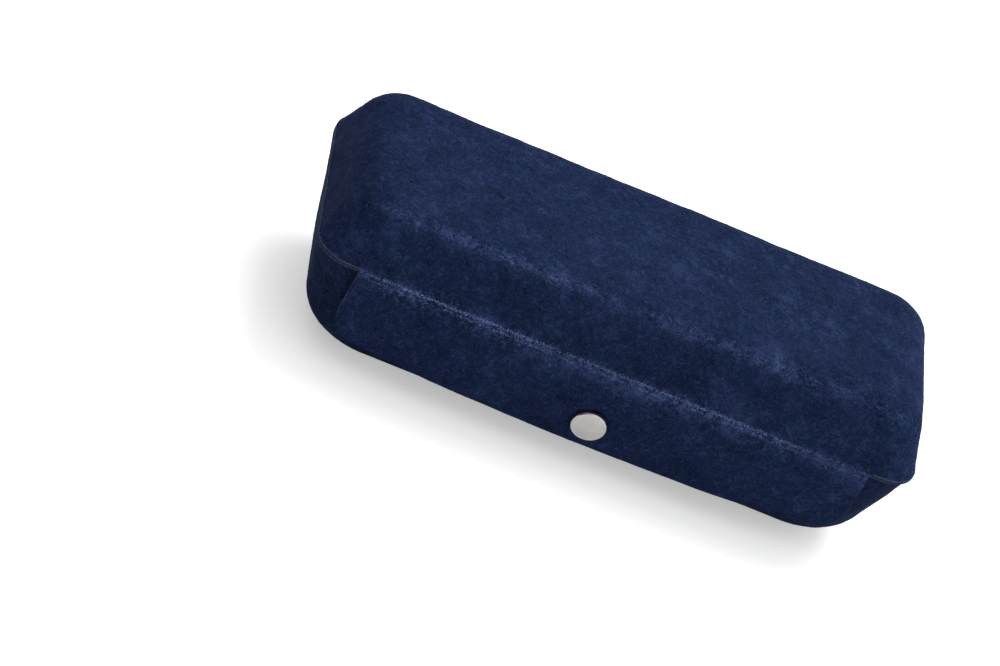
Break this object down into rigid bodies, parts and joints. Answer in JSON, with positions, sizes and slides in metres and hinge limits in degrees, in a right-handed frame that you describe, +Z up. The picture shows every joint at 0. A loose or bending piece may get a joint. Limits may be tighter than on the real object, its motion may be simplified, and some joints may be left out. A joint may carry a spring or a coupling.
{
  "type": "eyeglasses case",
  "caption": "Hard felt eyeglasses case: a deep tray, a domed lid on a felt hinge behind, and a front flap that snaps shut over the tray's wall.",
  "frame": {"origin": "centre of the flat base the tray rests on", "axes": "+X along the case to the right as seen from the flap's side, +Y towards the rear hinge, +Z up from the base to the lid"},
  "size_m": [0.17, 0.0697, 0.0517],
  "materials": {
    "navy_felt": "moulded polyester felt, navy blue, short light fibres",
    "lining": "thin brushed lining, dark blue-grey",
    "nickel": "satin nickel plate",
    "spring_wire": "bright spring wire"
  },
  "bodies": {
    "tray": {"tray_felt": "navy_felt", "tray_lining": "lining", "hinge_lower_felt": "navy_felt", "hinge_lower_lining": "lining", "snap_stud": "nickel", "stud_rivet": "nickel"},
    "lid": {"lid_felt": "navy_felt", "lid_lining": "lining", "hinge_upper_felt": "navy_felt", "hinge_upper_lining": "lining", "crease_upper_felt": "navy_felt", "crease_upper_lining": "lining"},
    "flap": {"crease_lower_felt": "navy_felt", "crease_lower_lining": "lining", "flap_felt": "navy_felt", "flap_lining": "lining", "snap_cap": "nickel", "cap_rivet": "nickel", "snap_socket": "nickel", "socket_spring": "spring_wire"}
  },
  "joints": [
    {"name": "lid_hinge", "type": "hinge", "parent": "tray", "child": "lid", "pos_m": [0, 0.0342, 0.03315], "axis": [-1, 0, 0], "range_deg": [0, 180]},
    {"name": "flap_fold", "type": "hinge", "parent": "lid", "child": "flap", "pos_m": [0, -0.0331, 0.03235], "axis": [-1, 0, 0], "range_deg": [0, 90]}
  ],
  "couplings": [
    {"joint": "flap_fold", "follows": "lid_hinge", "ratio": 0.5}
  ]
}
